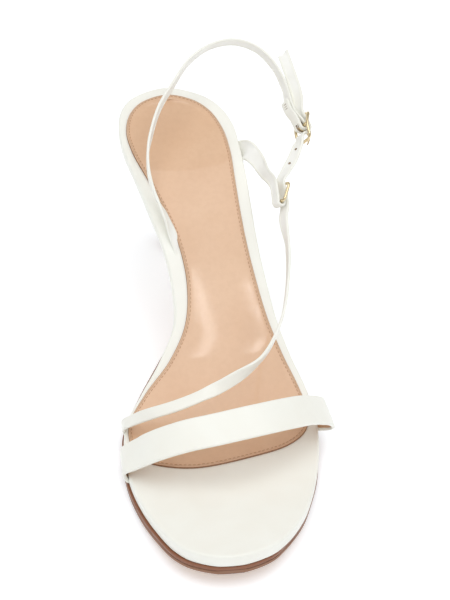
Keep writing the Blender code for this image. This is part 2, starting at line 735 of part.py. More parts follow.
def make_straps(group, cutters, ring, buckle):
    leather = material("strap_leather", LEATHER, 0.35)

    points, edges = path_of(TOE_STRAP)
    widths = [TOE_STRAP_WIDTH] * (len(points) - len(TOE_STRAP_ENDS)) + list(TOE_STRAP_ENDS)
    ribbon("toe_strap", points, edges, widths, TOE_STRAP_THICK, group, leather)

    points, edges = path_of(INSTEP_START)
    points += ring.points(INSTEP_THROUGH_RING)
    edges += [-ring.edge] * len(INSTEP_THROUGH_RING)
    more, more_edges = path_of(HOLED_END)
    points += more + buckle.points(HOLED_THROUGH_BUCKLE)
    edges += more_edges + [-buckle.edge] * len(HOLED_THROUGH_BUCKLE)
    more, more_edges = path_of(FREE_END)
    points += more
    edges += more_edges
    instep = ribbon("instep_strap", points, edges, [STRAP_WIDTH] * len(points), STRAP_THICK, group, leather,
                    FREE_END_CUT)
    cut(instep, rod_cutter("prong_hole", *buckle.points(PRONG_HOLE), HOLE_RADIUS, cutters))

    points, edges = path_of(REAR_STRAP)
    points += ring.points(REAR_ROUND_RING)
    edges += [-ring.edge] * len(REAR_ROUND_RING)
    widths = list(REAR_STRAP_WIDTHS) + [REAR_STRAP_WIDTHS[-1]] * (len(REAR_ROUND_RING) - 1)
    ribbon("rear_strap", points, edges, widths, SLING_THICK, group, leather)

    points, edges = path_of(SLING_START)
    points += buckle.points(SLING_ROUND_BUCKLE)
    edges += [buckle.edge] * len(SLING_ROUND_BUCKLE)
    sling = ribbon("sling_strap", points, edges, [SLING_WIDTH] * len(points), SLING_THICK, group, leather)
    cut(sling, box_cutter("prong_slot", buckle, *PRONG_SLOT, cutters))


def make_metal(group, ring, buckle):
    gold = material("pale_gold", GOLD, 0.25, 1.0)
    loop = rounded_rectangle(ring, RING_HALF_LENGTH, RING_HALF_WIDTH, RING_CORNER, 0.0)
    wire("ring", [loop], RING_WIRE, group, gold, True)
    loop = rounded_rectangle(buckle, FRAME_HALF_LENGTH, FRAME_HALF_WIDTH, FRAME_CORNER, FRAME_BOW)
    frame = wire("buckle_frame", [loop], FRAME_WIRE, group, gold, True)
    ends = [buckle.point(0.0, side * FRAME_HALF_WIDTH, 0.0) for side in (-1, 1)]
    bar = wire("centre_bar", [ends], BAR_WIRE, group, gold, False)
    cut(frame, bar, "UNION")
    bpy.data.objects.remove(bar, do_unlink=True)
    wire("buckle_prong", [catmull(buckle.points(PRONG), STRAP_STEPS)], PRONG_WIRE, group, gold, False)


def main():
    clear_scene()
    parts = collection(NAME)
    cutters = collection("cutters")
    ring = Place(*RING_PLACE)
    buckle = Place(*BUCKLE_PLACE)
    make_outsole(parts)
    make_footbed(parts)
    make_sock(parts)
    make_heel(parts)
    make_metal(parts, ring, buckle)
    make_straps(parts, cutters, ring, buckle)


main()
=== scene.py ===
"""The looks of a left slingback sandal.

Lengths are in millimetres, and a place on the sandal is (station, across, height): station runs forward
from the back of the heel, across is positive to the lateral side, and height is above the floor. world()
turns such a place into the frame's directions, and make_mesh() and wire() turn millimetres into metres.
Only the stage is given in metres.
"""
import math
from collections import namedtuple
from itertools import product

import bpy
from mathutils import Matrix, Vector

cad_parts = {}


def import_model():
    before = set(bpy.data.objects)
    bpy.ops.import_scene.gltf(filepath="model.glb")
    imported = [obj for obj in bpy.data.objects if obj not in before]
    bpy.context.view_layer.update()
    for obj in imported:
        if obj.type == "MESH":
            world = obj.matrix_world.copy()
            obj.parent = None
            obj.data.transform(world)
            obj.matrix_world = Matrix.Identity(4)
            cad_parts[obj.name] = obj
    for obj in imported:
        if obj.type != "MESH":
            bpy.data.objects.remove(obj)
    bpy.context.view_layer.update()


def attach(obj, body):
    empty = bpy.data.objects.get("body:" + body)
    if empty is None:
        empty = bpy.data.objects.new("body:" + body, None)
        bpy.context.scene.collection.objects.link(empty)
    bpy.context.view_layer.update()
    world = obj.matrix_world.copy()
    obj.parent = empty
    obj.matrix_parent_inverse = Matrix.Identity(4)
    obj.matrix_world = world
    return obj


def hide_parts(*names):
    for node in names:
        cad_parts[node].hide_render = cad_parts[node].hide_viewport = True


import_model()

MM = 0.001

# The sandal's own sizes.
LENGTH = 221.0
SEAT_HEIGHT = 75.5
FOOTBED_THICK = 4.8
OUTSOLE_THICK = 3.4
WAIST_SOLE_THICK = 2.4
CLEARANCE = 0.3
TREAD_HEIGHT = OUTSOLE_THICK + CLEARANCE + FOOTBED_THICK
TOE_SPRING = 7.0
TREAD_WEAR = 0.5
WEAR_BEGINS = 0.8  # as a share of the sole's thickness
TREAD_STATIONS = (126.0, 146.0, 188.0, 208.0)  # the worn tread fades in, and out again
MID_STATION = 110.3
MID_ACROSS = 12.3
SEAT_STEEPNESS = 0.17
WAIST_BEGINS = 0.12
WAIST_STEEPEST = 0.38
BALL_BEGINS = 0.50
BALL_LEVEL = 0.745
SPRING_POWER = 1.8
PROFILE_STEPS = 442
HOLLOW_DEPTH = 1.0  # the seat is hollowed where a foot's heel rests
HOLLOW_BEGINS = 12.0  # the station where the hollow has its whole depth
HOLLOW_FADES = (40.0, 70.0)
BREAST_STATION = 46.0
BREAST_ROW_GAP = 4.0  # rows of the outline nearer to the breast than this are left out
HEEL_INSET = 0.8
HEEL_TIP_WIDTH = 11.0
HEEL_TIP_LENGTH = 12.0
HEEL_TIP_BACK = 10.5
HEEL_TIP_MIDDLE = 4.0
HEEL_FLARE = 3.1
TOP_PIECE_HEIGHT = 5.4
THICKENING = (98.0, 126.0)  # where the sole goes from its waist thickness to its full one
TOE_STRAP_WIDTH = 13.0
STRAP_WIDTH = 5.2
SLING_WIDTH = 4.6
RING_WIRE = 0.62  # a wire's radius, a little finer here than in the plain solids
RING_HALF_LENGTH = 4.3
RING_HALF_WIDTH = 3.7
RING_CORNER = 1.6
FRAME_WIRE = 0.66
BAR_WIRE = 0.65
FRAME_HALF_LENGTH = 6.6
FRAME_HALF_WIDTH = 4.0
FRAME_CORNER = 2.4
FRAME_BOW = 1.6
PRONG_WIRE = 0.45
PRONG_TAPER = 0.35  # how much of its radius the pin loses over the last part of its length
PRONG_TAPER_BEGINS = 0.75

Section = namedtuple("Section", "station medial lateral")
Ring = namedtuple("Ring", "centre along edge out width distance")

FOOTBED_OUTLINE = [Section(*row) for row in (
    (6, -14.5, 16.5), (14, -20.2, 23.5), (26, -22.4, 27.8), (40, -21.4, 28.9), (54, -17.8, 29.8),
    (68, -13.4, 30.6), (82, -8.3, 31.9), (96, -5.8, 34.3), (108, -6.3, 36.9), (120, -13, 41),
    (132, -21.8, 45.8), (144, -28.9, 48.4), (156, -30.8, 47.9), (172, -29.9, 44.9), (186, -26.8, 40.3),
    (199, -22.1, 34.3), (210, -16.6, 26.3), (216.5, -10.3, 18.6),
)]
FOOTBED_ENDS = ((0.0, 0.5), (LENGTH, 3.0))

SOCK_OUTLINE = [Section(*row) for row in (
    (10, -10.6, 11.8), (17.5, -16.6, 18.4), (29, -19.3, 22.5), (42, -17.6, 24.2), (56, -12.2, 24.6),
    (68, -6.8, 25.3), (80, -2, 26.7), (94, 0.4, 29.4), (108, -1.5, 33), (120, -8.8, 37.6),
    (132, -20, 42.6), (144, -27.6, 45.4), (153, -28.3, 43), (160, -26.4, 35.2), (165, -21.8, 20.5),
)]
SOCK_ENDS = ((6.0, 0.8), (169.4, -5.0))

# How far the outsole stands beyond the footbed on each side.
OUTSOLE_MARGINS = [Section(*row) for row in (
    (98, -1.8, 0.7), (126, 0.7, 0.7), (150, 0.7, 0.5), (172, 0.7, 0.1), (190, 0.7, -0.4),
    (208, 0.6, -0.7), (LENGTH, 0, 0),
)]

# The straps' routes from seam to seam. Their ends tuck in between the footbed and the sole. A row is a
# place on the strap, and then which way its edge looks there: forward, across and up.
TOE_BAND = [
    (164.6, -27.8, 4.6, 1, 0, 0), (164.5, -30.2, 4.9, 1, 0, 0), (164.8, -31.5, 7.6, 1, 0, 0),
    (166.2, -31.6, 12.4, 1, 0, -0.1), (168.1, -27, 17.4, 1, 0, -0.3), (169.9, -22.5, 22, 1, 0.05, -0.4),
    (171.1, -17, 25.8, 1, 0.05, -0.45), (172, -8, 29.8, 1, 0.05, -0.5), (172, 3, 32.2, 1, 0.05, -0.5),
    (170.3, 14.1, 33, 1, 0.05, -0.5), (167.3, 24, 32.1, 1, 0.1, -0.45), (162.6, 33.8, 29.2, 1, 0.1, -0.4),
    (157.3, 42.6, 24.9, 1, 0.15, -0.35), (152.4, 50.6, 18.6, 1, 0.15, -0.3),
]
TOE_BAND_OUT = [
    (149.2, 52.4, 13.4, 1, 0.2, -0.15), (145.8, 51.4, 9, 1, 0.15, -0.05), (143.4, 49.2, 5.8, 1, 0.1, 0),
    (142.6, 46, 4.6, 1, 0.1, 0),
]
TOE_BAND_OUT_WIDTHS = (12.6, 11.6, 10.6, 10)
DIAGONAL_START = [
    (144, -26.2, 4.8, 1, 0, 0), (143.8, -28.8, 5.2, 1, 0, 0), (144.6, -30, 8.4, 1, 0, 0),
    (147, -29.9, 13, 1, 0, -0.1), (149.2, -27, 17, 1, 0, -0.15), (152, -23.6, 21.6, 1, 0.1, -0.2),
    (154.8, -18.4, 26.4, 1, 0.15, -0.2), (155.4, -10.4, 29.8, 1, 0.2, -0.2),
    (153.8, -1.3, 32.4, 1, 0.2, -0.15), (148.8, 10.6, 34.4, 0.45, 0.36, -0.78),
    (139.8, 25.4, 38.2, -0.45, 0.1, -0.87), (125, 35, 44, -0.5, 0.05, -0.85),
    (111, 39.4, 50.2, -0.5, 0, -0.85), (99, 40.9, 60.6, -0.5, -0.1, -0.85),
]
HOLED_END = [
    (71, 42.9, 77.5, -0.45, -0.7, -0.45), (65.4, 46.7, 79.9, -0.5, -0.78, -0.3),
    (59.8, 49.7, 82.4, -0.45, -0.7, -0.45),
]
FREE_END = [
    (34.4, 53.5, 90.2, 0, -0.82, -0.56), (27.6, 53.2, 91.5, 0, -0.92, -0.38),
    (18.5, 52.2, 93.6, 0, -0.95, -0.3), (9, 51, 96, 0.05, -0.95, -0.3),
]
FREE_END_CUT = -0.9  # how far the free end's tip is cut on a slant, along for each across
REAR_BAND = [
    (39, 27.4, 62.6, 1, 0.1, 0), (39.8, 29.2, 66.2, 1, 0.3, 0), (42, 31, 68.8, 0.97, 0.1, -0.1),
    (46.6, 33.2, 70, 0.85, -0.45, -0.22), (52.2, 34.9, 70.4, 0.5, -0.78, -0.38),
    (61, 36.2, 71.2, 0.1, -0.7, -0.7),
]
REAR_BAND_WIDTHS = (11.6, 11.6, 10, 8, 6.6, 5.4)
REAR_FOLD_WIDTH = 4.4
SLING_IN = [
    (90, 0.6, 39, 0.55, -0.7, -0.4), (85.6, -0.9, 44.6, 0.55, -0.7, -0.35),
    (80.6, -2.8, 50.2, 0.5, -0.8, -0.1),
]
SLING_IN_WIDTHS = (3.4, 3.8, 4.2)
SLING_START = [
    (73.1, -6.7, 59.9, 0.4, -0.6, 0.8), (66.8, -10, 65.2, 0.3, -0.2, 1), (60.3, -12.2, 70.8, 0.3, 0, 1),
    (52, -12.2, 76.6, 0.3, 0, 1), (44.2, -10.2, 80.6, 0.3, -0.15, 1), (32.1, -5.6, 85.6, 0.3, -0.15, 1),
    (20.1, 1.8, 90, 0.35, -0.1, 1), (8.5, 9.8, 93.8, 0.4, -0.05, 1), (1.8, 19.5, 96.6, 0.45, 0.05, 1),
    (0.1, 30.1, 97.6, 0.4, 0, 1), (4.6, 39.4, 96.6, 0.35, 0.05, 1), (14, 46, 93.6, 0.2, 0.15, 1),
    (26, 49.2, 90.2, 0.1, 0.3, 1),
]

# Where the ring and the buckle lie: centre, the way the strap runs back, and their upper edge.
RING_PLACE = (79.9, 40.3, 73.9, (-0.853, 0.356, 0.382), (0.1, 0.62, 0.78))
BUCKLE_PLACE = (50.0, 52.9, 85.7, (-0.94, 0.08, 0.34), (0.0, 0.5, 0.86))

# Straps and the pin at the ring and the buckle, as steps along, aside and out from their middles.
INSTEP_THROUGH_RING = [
    (-10, 0, 4.6), (-4.3, 0, 3.45), (0, 0, 1), (4.3, 0, -1.8),
]
REAR_ROUND_RING = [
    (2, -0.9, -4.3), (-4.3, 0, -1.65), (-5.47, 0, -1.17), (-5.95, 0, 0), (-5.47, 0, 1.17),
    (-4.3, 0, 1.65), (-2.2, 0, 0.5),
]
HOLED_THROUGH_BUCKLE = [
    (-6.6, -0.3, -1.1), (-4.4, -0.25, -0.4), (-2.75, 0, 1.5), (0, 0, 3.25), (3.4, 0, 1.7), (6.6, 0, -0.4),
]
SLING_ROUND_BUCKLE = [
    (12, -2.4, -4.3), (7, -1.4, -3.3), (3.6, -0.4, -1.2), (1.06, -0.2, 1.06), (0, -0.2, 1.5),
    (-1.06, -0.2, 1.06), (-1.5, -0.2, 0), (-1.1, -0.2, -1.3), (0.2, -0.2, -2), (3.4, -0.4, -3.5),
    (7, -1.4, -5.3), (12, -2.4, -6.3),
]
PRONG = [
    (0.92, 0, -0.92), (0, 0, -1.3), (-0.92, 0, -0.92), (-1.3, 0, 0), (-1.6, 0, 1.4), (-2.2, 0, 2.9),
    (-3.4, 0, 3.9), (-5, 0, 3.7), (-6.8, 0, 3.15), (-8, 0, 2.7),
]
PRONG_SLOT = ((-3.2, -0.8, -2.6), (2.2, 0.8, 2.6))  # cut in the sling's fold
PRONG_HOLE = ((-1.6, 0, 0.8), (-2.9, 0, 5.2))  # cut in the holed strap

SPARE_HOLES = (11.6, 19.5)  # along the strap from the prong's hole towards the ring
SPARE_HOLE_RADIUS = 0.6
PRONG_HOLE_RADIUS = 0.8
PUNCH_REACH = 2.0  # a spare hole's punch stands out this far on both sides of the strap
BAND_THICK = 1.5  # the leather as it shows, a little less than the solids' thickness
NARROW_THICK = 1.2
ANKLE_THICK = 1.1

# Soft troughs across the toe band: how far along it, how they lean across it, depth and breadth.
TOE_CREASES = ((9, 0.2, 0.12, 1.2), (96, -0.2, 0.16, 1.4), (101, -0.1, 0.12, 1))

# A strap's section: a crowned face, rolled edges, and a lining let into the back.
FACE_STEPS = 6
FACE_SHARES = [math.sin(math.pi / 2 * k / FACE_STEPS) for k in range(-FACE_STEPS, FACE_STEPS + 1)]
CROWN_SHARE = 0.07  # of the thickness
ROLL_SHARE = 0.75  # of half the thickness
ROLL_MOST = 0.2  # of the width
EDGE_STEPS = 6
FOLD_LIP = 0.3  # the raw leather between the rolled edge and the lining
LINING_INSET = 0.55  # the lining stops this far from the folded edge
LINING_SLOPE = 0.1
LINING_SINK = 0.12
END_THINNER = 0.22  # the last ring at either end is this much thinner
END_NARROWER = 0.04

# Edges as rows from one rim to the other. A look is a number in the piece's own list of materials.
FOOTBED_ROLL = 1.1
ROLL_STEPS = 8
FOOTBED_SIDE = ((0.04, 2.6), (0.08, 3.6), (0.14, 4.4), (0.3, 4.8), (0.8, 5))  # inset, depth
SOCK_RISE = 0.85  # the sock's top over the wrapped board
SOCK_FACE_INSET = 3.2
SOCK_GROOVE = 1.3  # how far the sewn groove runs from the edge
GROOVE_DEPTH = 0.06
GROOVE_BREADTH = 0.3
GROOVE_STEPS = (-0.9, -0.6, -0.35, -0.15, 0.0, 0.15, 0.35, 0.6)
SOCK_EDGE = (  # inset, depth under the sock's top, look
    (0.75, 0.02, 0), (0.4, 0.05, 0), (0.16, 0.12, 1), (0.03, 0.26, 1), (0, 0.45, 1), (0, 1, 1),
)
# Look 2 is the dark line of the edge's groove, carried round the bottom corner as painted shade.
SOLE_EDGE = (  # inset, share of the thickness, look
    (0.35, 0, 0), (0.08, 0.02, 0), (0, 0.08, 0), (0, 0.40, 0), (0.1, 0.44, 2), (0.24, 0.48, 2),
    (0.1, 0.52, 1), (0, 0.56, 1), (0.02, 0.78, 1), (0.14, 0.90, 2), (0.38, 0.97, 2), (0.8, 1, 3),
)
TOP_PIECE_LEVELS = (  # height, inset
    (0, 0.75), (0.12, 0.45), (0.4, 0.28), (2.6, 0.25), (2.75, 0.38), (2.9, 0.25),
    (TOP_PIECE_HEIGHT - 0.3, 0.25), (TOP_PIECE_HEIGHT, 0.5),
)
HEEL_EDGE = 0.25  # the covered heel's first and last rings are drawn in by this

# Stitches. A stop is a share of a thread's length and the share of its radius there.
STITCH_STOPS = ((-0.5, 0.25), (-0.4, 0.8), (-0.2, 1.0), (0.2, 1.0), (0.4, 0.8), (0.5, 0.25))
STITCH_SIDES = 6
SOCK_STITCH_PITCH = 1.8
SOCK_STITCH = (1.2, 0.15)  # length and radius
SOCK_STITCH_SINK = 0.05
END_STITCHES = ((8, -1.6, -6.1), (9.1, -1.82, -6.32), (10.2, -2.04, -6.54))
END_STITCH = (2.0, 0.2)

# How finely the meshes follow their curves.
OUTLINE_STEPS = 12  # points on a plan outline, for each span of its table
STRAP_STEPS = 14  # rings on a strap, for each span of its table
CAP_STEPS = 26
CAP_SHARES = [0.5 - 0.5 * math.cos(math.pi * k / CAP_STEPS) for k in range(1, CAP_STEPS)]
HEEL_SIDES = 168
HEEL_STEPS = 72
HEEL_SOFTNESS = 10  # rounds of softening for the corners at the breast
ROD_SIDES = 32
WIRE_RESOLUTION = 6
CORNER_STEPS = 12
PRONG_STEPS = 10


# ---- places and curves
def world(station, across, height):
    return Vector((across - MID_ACROSS, MID_STATION - station, height))


def heading(forward, across, up):
    return Vector((across, -forward, up)).normalized()


def smooth(share):
    share = min(max(share, 0.0), 1.0)
    return share * share * (3.0 - 2.0 * share)


def fade(value, start, end):
    """Rises smoothly from 0 at the start to 1 at the end."""
    return smooth((value - start) / (end - start))


def slope_share(share):
    seat = SEAT_STEEPNESS + (1.0 - SEAT_STEEPNESS) * fade(share, WAIST_BEGINS, WAIST_STEEPEST)
    return seat * (1.0 - fade(share, BALL_BEGINS, BALL_LEVEL))


def make_profile():
    """The footbed's height at equal steps from heel back to toe tip."""
    shares = [(step + 0.5) / PROFILE_STEPS for step in range(PROFILE_STEPS)]
    total = sum(slope_share(share) for share in shares)
    heights = [SEAT_HEIGHT]
    for share in shares:
        heights.append(heights[-1] - (SEAT_HEIGHT - TREAD_HEIGHT) * slope_share(share) / total)
    for step in range(PROFILE_STEPS + 1):
        lift = max(step / PROFILE_STEPS - BALL_LEVEL, 0.0) / (1.0 - BALL_LEVEL)
        heights[step] += TOE_SPRING * lift ** SPRING_POWER
    return heights


PROFILE = make_profile()


def deck(station):
    """Height of the footbed's top at a station."""
    place = min(max(station / LENGTH, 0.0), 1.0) * PROFILE_STEPS
    step = min(int(place), PROFILE_STEPS - 1)
    return PROFILE[step] + (PROFILE[step + 1] - PROFILE[step]) * (place - step)


def fall(station):
    """How far the footbed's top falls in a millimetre of station."""
    return (deck(station - 1.0) - deck(station + 1.0)) / 2.0


def below_deck(station, depth):
    """The station and height reached by going depth straight down through the footbed."""
    slope = fall(station)
    steep = math.hypot(1.0, slope)
    return station - depth * slope / steep, deck(station) - depth / steep


def out_of_deck(station):
    return Vector((0.0, -fall(station), 1.0)).normalized()


def catmull(points, steps):
    """Points on a smooth open curve through the given ones, steps to each span, both ends included."""
    padded = [points[0] * 2 - points[1], *points, points[-1] * 2 - points[-2]]
    curve = []
    for four in zip(padded, padded[1:], padded[2:], padded[3:]):
        knots = [0.0]
        for a, b in zip(four, four[1:]):
            knots.append(knots[-1] + max((b - a).length, 1e-6) ** 0.5)
        for step in range(steps):
            t = knots[1] + (knots[2] - knots[1]) * step / steps
            lines = [four[i].lerp(four[i + 1], (t - knots[i]) / (knots[i + 1] - knots[i]))
                     for i in range(3)]
            bends = [lines[i].lerp(lines[i + 1], (t - knots[i]) / (knots[i + 2] - knots[i]))
                     for i in range(2)]
            curve.append(bends[0].lerp(bends[1], (t - knots[1]) / (knots[2] - knots[1])))
    curve.append(points[-1].copy())
    return curve


def outline(sections, ends):
    """The two sides of a plan outline as lists of (station, across), with equal counts."""
    def spot(row, side):
        return Vector((row.station, getattr(row, side)))

    sides = []
    for side, other in (("medial", "lateral"), ("lateral", "medial")):
        points = [spot(row, side) for row in sections]
        begin = end = 0
        if ends[0]:
            points = [spot(sections[0], other), Vector(ends[0]), *points]
            begin = OUTLINE_STEPS
        if ends[1]:
            points += [Vector(ends[1]), spot(sections[-1], other)]
            end = OUTLINE_STEPS
        curve = catmull(points, OUTLINE_STEPS)
        sides.append(curve[begin:len(curve) - end])
    return sides


def inset_loop(sides, inset, ends):
    """The closed loop round both sides, moved inwards by inset (a number or a function)."""
    medial, lateral = sides
    begin, end = bool(ends[0]), len(lateral) - bool(ends[1])  # a shared end is taken once
    loop = [*medial, *reversed(lateral[begin:end])]
    count = len(loop)
    moved = []
    for i, point in enumerate(loop):
        ahead = loop[(i + 1) % count] - point
        behind = point - loop[i - 1]
        along = ahead.normalized() + behind.normalized()
        inward = Vector((-along.y, along.x)).normalized()
        side = "medial" if i < len(medial) else "lateral"
        amount = inset(point.x, side) if callable(inset) else inset
        moved.append(point + inward * amount)
    return moved


# ---- meshes
def add(name, data):
    """A new object in the scene for some data."""
    made = bpy.data.objects.new(name, data)
    bpy.context.scene.collection.objects.link(made)
    return made


def make_mesh(name, points, faces, looks, which=None, sharp=None):
    """A piece from points in millimetres; which names each face's material among looks."""
    mesh = bpy.data.meshes.new(name)
    mesh.from_pydata([tuple(point * MM) for point in points], [], faces)
    for look in looks:
        mesh.materials.append(look)
    if which:
        mesh.polygons.foreach_set("material_index", which)
    mesh.validate()
    mesh.shade_smooth()
    if sharp:
        mesh.set_sharp_from_angle(angle=math.radians(sharp))
    return add(name, mesh)


def settle(piece, slot, *nodes):
    """Every piece rides on the sandal's one body and may stand for solids; the slot is not used."""
    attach(piece, "root")
    if nodes:
        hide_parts(*nodes)


def bands(rings, count, base=0, flip=False):
    """Faces between rings that follow each other, each of count points."""
    faces = []
    for ring in range(rings - 1):
        for k in range(count):
            a = base + ring * count + k
            b = base + ring * count + (k + 1) % count
            faces.append((a, b, b + count, a + count) if flip else (a, a + count, b + count, b))
    return faces


def skin(rings, count, base=0, flip=False):
    """The faces of a closed tube: its bands, and a lid over its first and last ring."""
    last = base + (rings - 1) * count
    lids = [tuple(range(base, base + count)), tuple(reversed(range(last, last + count)))]
    if flip:
        lids = [tuple(reversed(lid)) for lid in lids]
    return bands(rings, count, base, flip) + lids


def sunk(spot, depth, extra=0.0):
    """The point straight down from a plan spot; the depth is a number or a function of the station."""
    deep = depth(spot.x) if callable(depth) else depth
    station, height = below_deck(spot.x, deep + extra)
    return world(station, spot.y, max(height, 0.0))


def plate(name, sides, ends, layers, cups, looks, sharp=None):
    """A closed plate that follows the last.

    layers are (inset, depth, look) from its top rim to its bottom rim: the look is that of the strip
    from this rim to the next. Each depth is a number or a function of the station, and cups gives the
    two faces' hollows as functions of station and share across, or None for a flat face. The top has
    the first look of looks and the underside the last.
    """
    plans = [inset_loop(sides, inset, ends) for inset, _, _ in layers]
    count = len(plans[0])
    points = [sunk(spot, depth) for plan, (_, depth, _) in zip(plans, layers) for spot in plan]
    faces = bands(len(layers), count, flip=True)
    which = [look for _, _, look in layers[:-1] for _ in range(count)]
    for last, cup, look in ((False, cups[0], 0), (True, cups[1], len(looks) - 1)):
        layer = len(layers) - 1 if last else 0
        made = cap(points, plans[layer], layer * count, len(sides[0]), ends, layers[layer][1], cup)
        faces += [face if last else tuple(reversed(face)) for face in made]
        which += [look] * len(made)
    return make_mesh(name, points, faces, looks, which, sharp)


def cap(points, plan, base, side_count, ends, depth, cup):
    """Faces that close a plate with rungs from its medial side to its lateral side."""
    count = len(plan)
    grid = []
    for i in range(side_count):
        j = (count - i) % count if ends[0] else count - 1 - i
        if i == j:
            grid.append([base + i])
            continue
        row = [base + i]
        for share in CAP_SHARES:
            spot = plan[i].lerp(plan[j], share)
            row.append(len(points))
            points.append(sunk(spot, depth, cup(spot.x, share) if cup else 0.0))
        row.append(base + j)
        grid.append(row)
    faces = []
    for a, b in zip(grid, grid[1:]):
        size = max(len(a), len(b))
        a, b = (row * size if len(row) == 1 else row for row in (a, b))
        for k in range(size - 1):
            corners = (a[k], b[k], b[k + 1], a[k + 1])
            faces.append(tuple(dict.fromkeys(corners)))
    return faces


# ---- straps
def axes(along, edge):
    along = along.normalized()
    edge = (edge - along * edge.dot(along)).normalized()
    return along, edge, along.cross(edge)


def circle(side, other, count):
    """Steps to the points of a circle of radius one, from its middle."""
    turns = [math.tau * k / count for k in range(count)]
    return [side * math.cos(turn) + other * math.sin(turn) for turn in turns]


class Place:
    """A spot on the sandal with its own directions: along, aside and out."""

    def __init__(self, station, across, height, along, edge):
        self.at = world(station, across, height)
        self.along, self.edge, self.out = axes(heading(*along), heading(*edge))

    def point(self, along, aside, out):
        return self.at + self.along * along + self.edge * aside + self.out * out

    def points(self, holds):
        return [self.point(*hold) for hold in holds]


class Route:
    """A strap's path: world points, edge directions and widths that grow together."""

    def __init__(self):
        self.points, self.edges, self.widths = [], [], []

    def turns(self, turns, width):
        widths = width if isinstance(width, tuple) else [width] * len(turns)
        self.points += [world(*turn[:3]) for turn in turns]
        self.edges += [heading(*turn[3:]) for turn in turns]
        self.widths += list(widths)
        return self

    def holds(self, place, holds, edge, width):
        self.points += place.points(holds)
        self.edges += [edge] * len(holds)
        self.widths += [width] * len(holds)
        return self

    def rings(self):
        """The strap's rings at close steps along it."""
        curve = catmull(self.points, STRAP_STEPS)
        spans = len(self.points) - 1
        made = []
        distance = 0.0
        for i, centre in enumerate(curve):
            span = min(i // STRAP_STEPS, spans - 1)
            share = (i - span * STRAP_STEPS) / STRAP_STEPS
            ahead = curve[min(i + 1, len(curve) - 1)]
            behind = curve[max(i - 1, 0)]
            edge = self.edges[span].lerp(self.edges[span + 1], smooth(share))
            width = self.widths[span] + (self.widths[span + 1] - self.widths[span]) * share
            if i:
                distance += (centre - curve[i - 1]).length
            made.append(Ring(centre, *axes(ahead - behind, edge), width, distance))
        return made


def strap_section(width, thick):
    """Points (aside, outwards, look) round a strap: a crowned face, rolled edges and an inset lining."""
    tall = thick / 2.0
    roll = min(ROLL_SHARE * tall, width * ROLL_MOST)
    half = width / 2.0 - roll
    lip = half - FOLD_LIP
    outer = half - LINING_INSET
    inner = outer - LINING_SLOPE
    back = -tall + LINING_SINK
    turns = [math.pi / 2 - math.pi * step / EDGE_STEPS for step in range(1, EDGE_STEPS + 1)]
    crown = CROWN_SHARE * thick
    points = [(share * half, tall + crown * (1.0 - share * share), 0) for share in FACE_SHARES]
    points += [(half + roll * math.cos(turn), tall * math.sin(turn), 0) for turn in turns]
    points += [(lip, -tall, 0), (outer, -tall, 0), (inner, back, 1)]
    points += [(outer * share, back, 1) for share in (0.5, 0.0, -0.5)]
    points += [(-inner, back, 1), (-outer, -tall, 0), (-lip, -tall, 0)]
    points += [(-half - roll * math.cos(turn), -tall * math.sin(turn), 0) for turn in turns[:-1]]
    return points


def strap(name, route, thick, outer, looks, slant=0.0, creases=()):
    """A strap along its route. outer is 1 where its face looks along its own out direction, else -1."""
    rings = route.rings()
    last = len(rings) - 1
    points = []
    for i, (centre, along, edge, out, width, distance) in enumerate(rings):
        section = strap_section(width, thick)
        at_end = i in (0, last)
        for aside, outwards, _ in section:
            sink = 0.0
            for at, lean, depth, breadth in creases:
                away = (distance - at - lean * aside * outer) / breadth
                sink += depth * math.exp(-away * away)
            lift = (outwards * (1.0 - END_THINNER * at_end) - sink) * outer
            skew = along * slant * aside if i == last else Vector()
            points.append(centre + edge * aside * (1.0 - END_NARROWER * at_end) + out * lift + skew)
    count = len(section)
    lined = [section[k][2] * section[(k + 1) % count][2] for k in range(count)]
    faces = skin(len(rings), count, flip=outer < 0)
    return make_mesh(name, points, faces, looks, lined * last + [0, 0], sharp=50.0)


def cut(piece, tool):
    """Cuts a tool out of a piece; the cut faces keep the tool's material."""
    modifier = piece.modifiers.new("cut", "BOOLEAN")
    modifier.operation = "DIFFERENCE"
    modifier.solver = "EXACT"
    modifier.material_mode = "TRANSFER"
    modifier.object = tool
    depsgraph = bpy.context.evaluated_depsgraph_get()
    mesh = bpy.data.meshes.new_from_object(piece.evaluated_get(depsgraph))
    piece.modifiers.clear()
    piece.data = mesh
    bpy.data.objects.remove(tool, do_unlink=True)


def punch(piece, rods, radius, look):
    """Clean round holes through a strap, each along a rod between two world points."""
    for start, stop in rods:
        along = (stop - start).normalized()
        side = along.orthogonal().normalized()
        other = along.cross(side)
        round_rod = circle(side, other, ROD_SIDES)
        points = [end + step * radius for end in (start, stop) for step in round_rod]
        cut(piece, make_mesh("rod", points, skin(2, ROD_SIDES, flip=True), [look]))


def slot(piece, place, corners, look):
    """A square slot through a strap, between two opposite corners in a place's own directions."""
    points = [place.point(*corner) for corner in product(*zip(*corners))]
    faces = [(0, 1, 3, 2), (4, 6, 7, 5), (0, 4, 5, 1), (2, 3, 7, 6), (0, 2, 6, 4), (1, 5, 7, 3)]
    cut(piece, make_mesh("block", points, faces, [look]))


# ---- metal
def wire(name, points, radius, look, closed, radii=None):
    """A round wire through points; radii are shares of the radius, one for each point."""
    curve = bpy.data.curves.new(name, "CURVE")
    curve.dimensions = "3D"
    curve.bevel_depth = radius * MM
    curve.bevel_resolution = WIRE_RESOLUTION
    curve.use_fill_caps = not closed
    spline = curve.splines.new("POLY")
    spline.points.add(len(points) - 1)
    for target, point, share in zip(spline.points, points, radii or [1.0] * len(points)):
        target.co = (*(point * MM), 1.0)
        target.radius = share
    spline.use_cyclic_u = closed
    drawn = add(name, curve)
    depsgraph = bpy.context.evaluated_depsgraph_get()
    mesh = bpy.data.meshes.new_from_object(drawn.evaluated_get(depsgraph))
    bpy.data.objects.remove(drawn, do_unlink=True)
    mesh.name = name
    mesh.materials.append(look)
    mesh.shade_smooth()
    return add(name, mesh)


